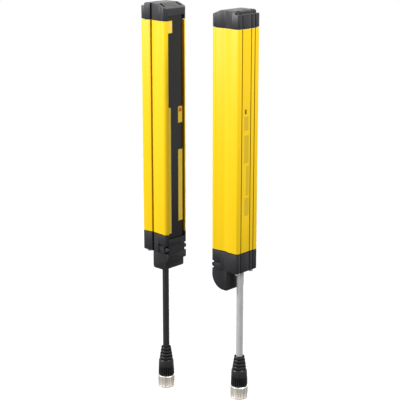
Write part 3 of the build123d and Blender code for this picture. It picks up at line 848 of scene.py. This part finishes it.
# %% Outline of a plug
RING_RADII = (5.5, 6.1, 6.7, 7.2)
RING_PITCH = 3.5
RING_GROOVE = 0.75
RING_SIDE = ((0.3, RING_GROOVE), (0.0, RING_GROOVE + 0.4), (0.1, RING_PITCH - 0.4), (0.4, RING_PITCH))
GROOVE_DEPTH = 1.3
GRIP_RADII = (8.15, 8.65)
GRIP_LENGTH = 18.0
GRIP_CHAMFER = 0.6
GRIP_SHOULDER = ((0.0, 1.6), (0.35, 0.6), (1.0, 0.0))
GRIP_FLUTE_SPAN = (1.4, 9.4)
FLUTE_FADE = 0.3
NECK_RADIUS = 4.62
FLANGE_RADIUS = 5.1
FLANGE_HEIGHT = 0.9
INSERT_BORE = 4.1
INSERT_DEPTH = 9.0
CORE_BORE = 3.0
CABLE_BORE = 3.45
CABLE_BORE_DEPTHS = (1.0, 2.0)


def grip_foot(height):
    """The height of the grip's foot on a plug of this height, in millimetres."""
    return height - RING_PITCH * len(RING_RADII) - GRIP_LENGTH


def plug_profile(height):
    """The plug's closed outline as (radius, height) in millimetres, from its foot round to its foot."""
    top, bottom = GRIP_RADII
    foot = grip_foot(height)
    shoulder = foot + GRIP_LENGTH
    outline = [(INSERT_BORE, 0.0), (FLANGE_RADIUS, 0.0), (FLANGE_RADIUS, FLANGE_HEIGHT)]
    outline += [(NECK_RADIUS, FLANGE_HEIGHT), (NECK_RADIUS, foot)]
    outline += [(bottom - GRIP_CHAMFER, foot), (bottom, foot + GRIP_CHAMFER)]
    for above in GRIP_FLUTE_SPAN:
        radius = bottom + (top - bottom) * above / GRIP_LENGTH
        outline += [(radius, foot + above), (radius, foot + above + FLUTE_FADE)]
    outline += [(top - inset, shoulder - drop) for inset, drop in GRIP_SHOULDER]
    for index, radius in enumerate(reversed(RING_RADII)):
        low = shoulder + RING_PITCH * index
        outline += [(radius - GROOVE_DEPTH, low), (radius - GROOVE_DEPTH, low + RING_GROOVE)]
        outline += [(radius - inset, low + rise) for inset, rise in RING_SIDE]
    outline += [(CABLE_BORE, height), (CABLE_BORE, height - CABLE_BORE_DEPTHS[0])]
    outline += [(CORE_BORE, height - CABLE_BORE_DEPTHS[1]), (CORE_BORE, INSERT_DEPTH)]
    outline += [(INSERT_BORE, INSERT_DEPTH)]
    return outline


print("the outline of a plug has", len(plug_profile(60.0)), "points")

# %% [markdown]
# The grooves between the rings are so deep and narrow that little light gets out of them again. The real
# rubber is the same all over, but a darker, duller material on the groove's faces keeps the stack of rings
# legible from a distance.

# %% Moulded plugs
PLUG_SMOOTH = 35
GRIP_FLUTES = 24
GRIP_FLUTE_DEPTHS = (0.9, 0.45)
SHOULDER_TOLERANCE = 0.01


def moulded_plug(side):
    """The plug at the end of one cable, in the place of its CAD node."""
    node = side + "_plug_body"
    low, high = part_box(node)
    height = (high[2] - low[2]) / MM
    columns = GRIP_FLUTES * COLUMNS_PER_FLUTE
    ring = spun(plug_profile(height), columns)
    foot = grip_foot(height)
    flutes = [foot + above + FLUTE_FADE / 2 for above in GRIP_FLUTE_SPAN]
    outside = [vert for vert in ring.verts if vert.co.xy.length / MM > GRIP_RADII[0] - NEAR]
    press_flutes(columns, [vert for vert in outside if within(vert.co.z / MM, flutes)], GRIP_FLUTE_DEPTHS)
    for face in ring.faces:
        above = face.calc_center_median().z / MM - foot - GRIP_LENGTH
        if above > -SHOULDER_TOLERANCE and above % RING_PITCH < RING_GROOVE:
            face.material_index = 1
    materials = (plastics["plug_moulding"], plastics["plug_ring_groove"])
    name = side + "_moulded_plug"
    return round_piece(name, ring, PLUG_SMOOTH, materials, "bars", node)


plugs = {side: moulded_plug(side) for side in SIDES}

# %% [markdown]
# The receiver's window carries thin printed films along its two margins. They are plain yellow fields here,
# with one small orange mark. Each film is a thin slab a tenth of a millimetre thick, laid on the sheet, with
# its four short edges rounded. The mark lies on top of a yellow film, so it is lifted by one thickness.

# %% Printed films on the window
FILM_THICKNESS = 0.1
FILM_CORNER = 0.5
FILM_YELLOW = (0.98, 0.72, 0.06)
FILM_ORANGE = (0.75, 0.13, 0.015)
FILM_CLOUDS = 350.0
NEAR_TOP_MARGIN = (-10.6, -3.8)
NEAR_MARGIN = (-10.6, -6.5)
FAR_MARGIN = (4.2, 10.3)
MARK_ACROSS = (5.4, 9.4)

film_yellow = finish("film_yellow", FILM_YELLOW, 0.38)
vary_colour(film_yellow, object_noise(film_yellow, FILM_CLOUDS), (0.94, 0.66, 0.04), FILM_YELLOW)
film_orange = finish("film_orange", FILM_ORANGE, 0.38)
vary_colour(film_orange, object_noise(film_orange, FILM_CLOUDS), (0.66, 0.10, 0.01), FILM_ORANGE)


def film(name, across, heights, material, lift=0.0):
    """A thin slab on the receiver's window, across and heights in millimetres."""
    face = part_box("receiver_window")[1][0] / MM + lift
    size = (FILM_THICKNESS, across[1] - across[0], heights[1] - heights[0])
    centre = Vector((face + FILM_THICKNESS / 2, sum(across) / 2, sum(heights) / 2)) * MM
    slab = bmesh.new()
    add_box(slab, size, centre)
    lengths = [(edge, abs(edge.verts[0].co.x - edge.verts[1].co.x)) for edge in slab.edges]
    corners = [edge for edge, length in lengths if length > FILM_THICKNESS * MM / 2]
    bevel_edges(slab, corners, FILM_CORNER, segments=3)
    piece = new_piece(name, slab, (material,))
    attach(piece, "bars")
    print(name, round(size[1], 1), "by", round(size[2], 1), "mm")


film("film_near_top", NEAR_TOP_MARGIN, (98.6, 110.8), film_yellow)
film("film_near_long", NEAR_MARGIN, (-110.8, 22.8), film_yellow)
film("film_far_patch", FAR_MARGIN, (5.6, 22.6), film_yellow)
film("film_far_long", FAR_MARGIN, (-99.0, -22.6), film_yellow)
film("film_far_mark", MARK_ACROSS, (17.0, 20.6), film_orange, lift=FILM_THICKNESS)

# %% [markdown]
# Each cable ends in a plug of four pieces: the moulding, the nut, the insert and its contacts.

# %% [markdown]
# The studio is plain, and its background should be white without any extra light on the bars. A Light Path
# node tells what kind of ray asks: the camera's own rays, and those that pass through glass, get white, and
# all others get the plain shader. For the world, mirrored rays get white as well, so that metal shows the
# same background that the camera sees.

# %% White for the eye only
def white_for_eye(tree, plain, white, mirrored=True):
    """Mixes a plain shader with a white one for camera and transmission rays, and for glossy ones."""
    path = tree.nodes.new("ShaderNodeLightPath")
    first = tree.nodes.new("ShaderNodeMath")
    first.operation = "MAXIMUM"
    second = tree.nodes.new("ShaderNodeMath")
    second.operation = "MAXIMUM"
    blend = tree.nodes.new("ShaderNodeMixShader")
    tree.links.new(path.outputs["Is Camera Ray"], first.inputs[0])
    tree.links.new(path.outputs["Is Transmission Ray"], first.inputs[1])
    tree.links.new(first.outputs["Value"], second.inputs[0])
    second.inputs[1].default_value = 0.0
    if mirrored:
        tree.links.new(path.outputs["Is Glossy Ray"], second.inputs[1])
    tree.links.new(second.outputs["Value"], blend.inputs["Fac"])
    tree.links.new(plain.outputs[0], blend.inputs[1])
    tree.links.new(white.outputs[0], blend.inputs[2])
    return blend


# %% [markdown]
# The floor lies well below the hanging plugs, because the bars are seen as if they hung in the air. It glows
# almost to white for the camera, with a little plain grey added, so that it would still show a shadow. All
# other rays see a dull grey, which keeps it from lighting the bars from below.

# %% Floor
FLOOR_DROP = 1.3
FLOOR_HALF = 4.0
FLOOR_GREY = (0.4, 0.4, 0.4)
FLOOR_GLOW = 0.97
SHADOW_GREY = (0.2, 0.2, 0.2)

floor_shape = bmesh.new()
bmesh.ops.create_grid(floor_shape, x_segments=1, y_segments=1, size=FLOOR_HALF)
bmesh.ops.translate(floor_shape, verts=floor_shape.verts, vec=(0.0, 0.0, cad_low[2] - FLOOR_DROP))
floor_white = finish("floor_white", FLOOR_GREY, 0.9)
floor_tree = floor_white.node_tree
glow = floor_tree.nodes.new("ShaderNodeEmission")
glow.inputs["Strength"].default_value = FLOOR_GLOW
dull = floor_tree.nodes.new("ShaderNodeBsdfDiffuse")
dull.inputs["Color"].default_value = (*SHADOW_GREY, 1.0)
both = floor_tree.nodes.new("ShaderNodeAddShader")
floor_tree.links.new(dull.outputs[0], both.inputs[0])
floor_tree.links.new(glow.outputs[0], both.inputs[1])
seen = white_for_eye(floor_tree, floor_tree.nodes["Principled BSDF"], both, mirrored=False)
floor_tree.links.new(seen.outputs[0], floor_tree.nodes["Material Output"].inputs["Surface"])
floor = new_piece("floor", floor_shape, (floor_white,))

# %% [markdown]
# The world gives soft light from all round. It is held at about half, so that the lamps can still model the
# shapes, while the camera sees it as pure white.

# %% World
WORLD_STRENGTH = 0.55
WHITE = (1.0, 1.0, 1.0, 1.0)

world = bpy.data.worlds.new("studio")
bpy.context.scene.world = world
world.use_nodes = True
soft = world.node_tree.nodes["Background"]
white = world.node_tree.nodes.new("ShaderNodeBackground")
for background, strength in ((soft, WORLD_STRENGTH), (white, 1.0)):
    background.inputs["Color"].default_value = WHITE
    background.inputs["Strength"].default_value = strength
sky = white_for_eye(world.node_tree, soft, white)
world.node_tree.links.new(sky.outputs[0], world.node_tree.nodes["World Output"].inputs["Surface"])
print("world strength", WORLD_STRENGTH)

# %% [markdown]
# Three large square lamps do the rest. The key stands far out at the left of the camera and above the bars,
# so their tops are the brightest and their lower ends fall off. The fill stands at the right and lights the
# faces turned that way. The last one is low behind the pair, and keeps its far side readable in other views.
# Each row gives a name, a place in metres, the power in watts and the side of the square in metres.

# %% Lamps
LAMPS = (
    ("key_lamp", (-0.90, -1.60, 0.72), 38.5, 0.8),
    ("fill_lamp", (0.92, 0.05, 0.80), 9.5, 0.5),
    ("back_lamp", (-0.55, 1.30, -0.45), 10.0, 0.8),
)
AIM_HEIGHT = -0.02


def soft_lamp(name, place, power, size):
    """A square area lamp aimed at the middle of the pair."""
    data = bpy.data.lights.new(name, "AREA")
    data.energy = power
    data.size = size
    lamp = bpy.data.objects.new(name, data)
    lamp.location = place
    aim = Vector(((cad_low[0] + cad_high[0]) / 2, 0.0, AIM_HEIGHT)) - Vector(place)
    lamp.rotation_euler = aim.to_track_quat("-Z", "Y").to_euler()
    bpy.context.scene.collection.objects.link(lamp)
    print(name, power, "W at", round(aim.length, 2), "m")


for lamp_values in LAMPS:
    soft_lamp(*lamp_values)

# %% [markdown]
# The Standard view shows a colour as it is written, which is what a part in a library needs. The dressed
# model may not be larger than the CAD model.

# %% Render settings
bpy.context.scene.view_settings.view_transform = "Standard"
